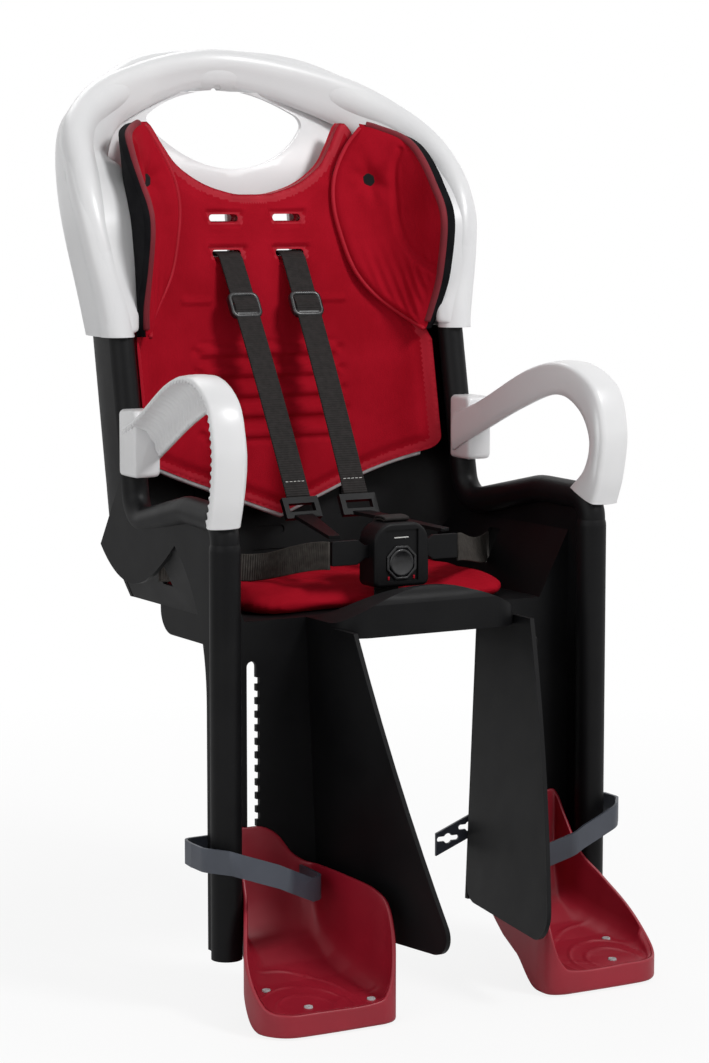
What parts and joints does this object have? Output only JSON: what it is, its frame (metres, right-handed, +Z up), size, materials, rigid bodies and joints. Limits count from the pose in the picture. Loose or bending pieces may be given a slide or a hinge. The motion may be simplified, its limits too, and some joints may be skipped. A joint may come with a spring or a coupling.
{
  "type": "child bike seat",
  "caption": "Rear child bike seat with moulded shell, white hood with handle, ribbed arms, red pads, harness with buckle and sliding footrests.",
  "frame": {"origin": "midway between the two carrier rod sockets under the pan, at their front mouths", "axes": "+Z up, the child faces -Y, +X is the child's left"},
  "size_m": [0.4124, 0.5144, 0.802],
  "materials": {
    "white_plastic": "satin moulded",
    "black_plastic": "fine grain",
    "red_fabric": "woven",
    "dark_red_plastic": "moulded",
    "grey_rubber": "smooth",
    "webbing": "woven webbing",
    "steel": "plain"
  },
  "bodies": {
    "seat": {"main_shell": "black_plastic", "hood": "white_plastic", "hood_screws": "steel", "back_pad": "red_fabric", "seat_cushion": "red_fabric", "crotch_strap": "webbing", "buckle_housing": "black_plastic", "buckle_spring": "steel", "carrier_block": "black_plastic", "carrier_bolts": "steel", "armrest_left": "white_plastic", "armrest_right": "white_plastic", "bolster_left": "red_fabric", "bolster_right": "red_fabric", "snap_button_left": "black_plastic", "snap_button_right": "black_plastic", "shoulder_strap_left": "webbing", "shoulder_strap_right": "webbing", "strap_anchor_left": "black_plastic", "strap_anchor_right": "black_plastic", "strap_adjuster_left": "black_plastic", "strap_adjuster_right": "black_plastic", "strap_ring_left": "black_plastic", "strap_ring_right": "black_plastic", "buckle_tongue_left": "black_plastic", "buckle_tongue_right": "black_plastic", "lap_belt_left": "webbing", "lap_belt_right": "webbing"},
    "footrest_left": {"footrest_left": "dark_red_plastic", "foot_lock_left": "dark_red_plastic", "foot_strap_left": "grey_rubber"},
    "footrest_right": {"footrest_right": "dark_red_plastic", "foot_lock_right": "dark_red_plastic", "foot_strap_right": "grey_rubber"},
    "button": {"buckle_button": "black_plastic"}
  },
  "joints": [
    {"name": "footrest_left_slide", "type": "slide", "parent": "seat", "child": "footrest_left", "axis": [0, 0, 1], "range_m": [0, 0.0575]},
    {"name": "footrest_right_slide", "type": "slide", "parent": "seat", "child": "footrest_right", "axis": [0, 0, 1], "range_m": [0, 0.0575]},
    {"name": "buckle_press", "type": "slide", "parent": "seat", "child": "button", "axis": [0, 1, 0], "range_m": [0, 0.004], "stiffness_N_per_m": 800, "deforming": ["buckle_spring"]}
  ]
}
